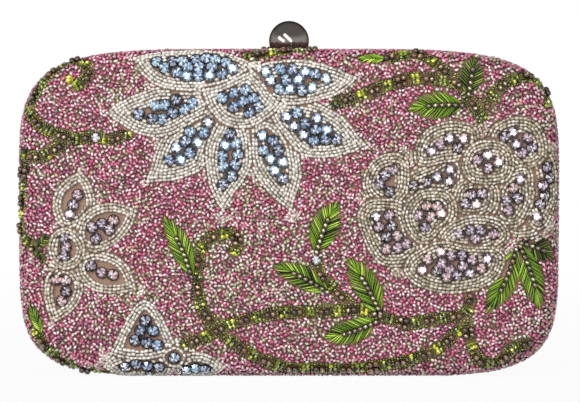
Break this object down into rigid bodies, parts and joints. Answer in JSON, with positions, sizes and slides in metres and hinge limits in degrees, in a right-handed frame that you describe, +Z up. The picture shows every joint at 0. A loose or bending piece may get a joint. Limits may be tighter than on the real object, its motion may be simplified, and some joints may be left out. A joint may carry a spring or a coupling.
{
  "type": "box clutch",
  "caption": "Padded box clutch of hinged trays covered in beadwork, held shut by a ball latch on the top edge.",
  "frame": {"origin": "middle of the foot that the closed clutch stands on, in the parting plane", "axes": "+X to the right seen from the front, +Y from the front face to the back face, +Z up"},
  "size_m": [0.178, 0.048, 0.1175],
  "materials": {
    "beaded_fabric": "dense glass beads and faceted stones sewn on fabric",
    "wadding": "soft polyester wadding",
    "shell_plastic": "moulded, matt",
    "satin": "satin weave",
    "frame_metal": "polished gunmetal plating",
    "hinge_metal": "gunmetal plating",
    "ball_metal": "mirror-polished gunmetal plating",
    "plated_steel": "nickel-plated sheet",
    "spring_steel": "drawn spring wire"
  },
  "bodies": {
    "back_half": {"back_cover": "beaded_fabric", "back_padding": "wadding", "back_shell": "shell_plastic", "back_lining": "satin", "back_frame": "frame_metal", "hinge_left_back_leaf": "hinge_metal", "hinge_left_pin": "plated_steel", "hinge_right_back_leaf": "hinge_metal", "hinge_right_pin": "plated_steel", "latch_base": "plated_steel", "latch_pin": "plated_steel", "latch_spring": "spring_steel", "latch_rivet_left": "plated_steel", "latch_rivet_right": "plated_steel"},
    "front_half": {"front_cover": "beaded_fabric", "front_padding": "wadding", "front_shell": "shell_plastic", "front_lining": "satin", "front_frame": "frame_metal", "hinge_left_front_leaf": "hinge_metal", "hinge_right_front_leaf": "hinge_metal", "catch_plate": "plated_steel", "catch_rivet_left": "plated_steel", "catch_rivet_right": "plated_steel"},
    "latch": {"latch_lever": "frame_metal", "clasp_ball": "ball_metal", "clasp_collar": "plated_steel", "clasp_stud": "plated_steel"}
  },
  "joints": [
    {"name": "lid_hinge", "type": "hinge", "parent": "back_half", "child": "front_half", "pos_m": [0, 0, 0.0037], "axis": [1, 0, 0], "range_deg": [0, 95]},
    {"name": "latch_tilt", "type": "hinge", "parent": "back_half", "child": "latch", "pos_m": [0, 0.00205, 0.105], "axis": [-1, 0, 0], "range_deg": [0, 10], "stiffness_Nm_per_rad": 0.05, "springref_deg": -11.46}
  ]
}
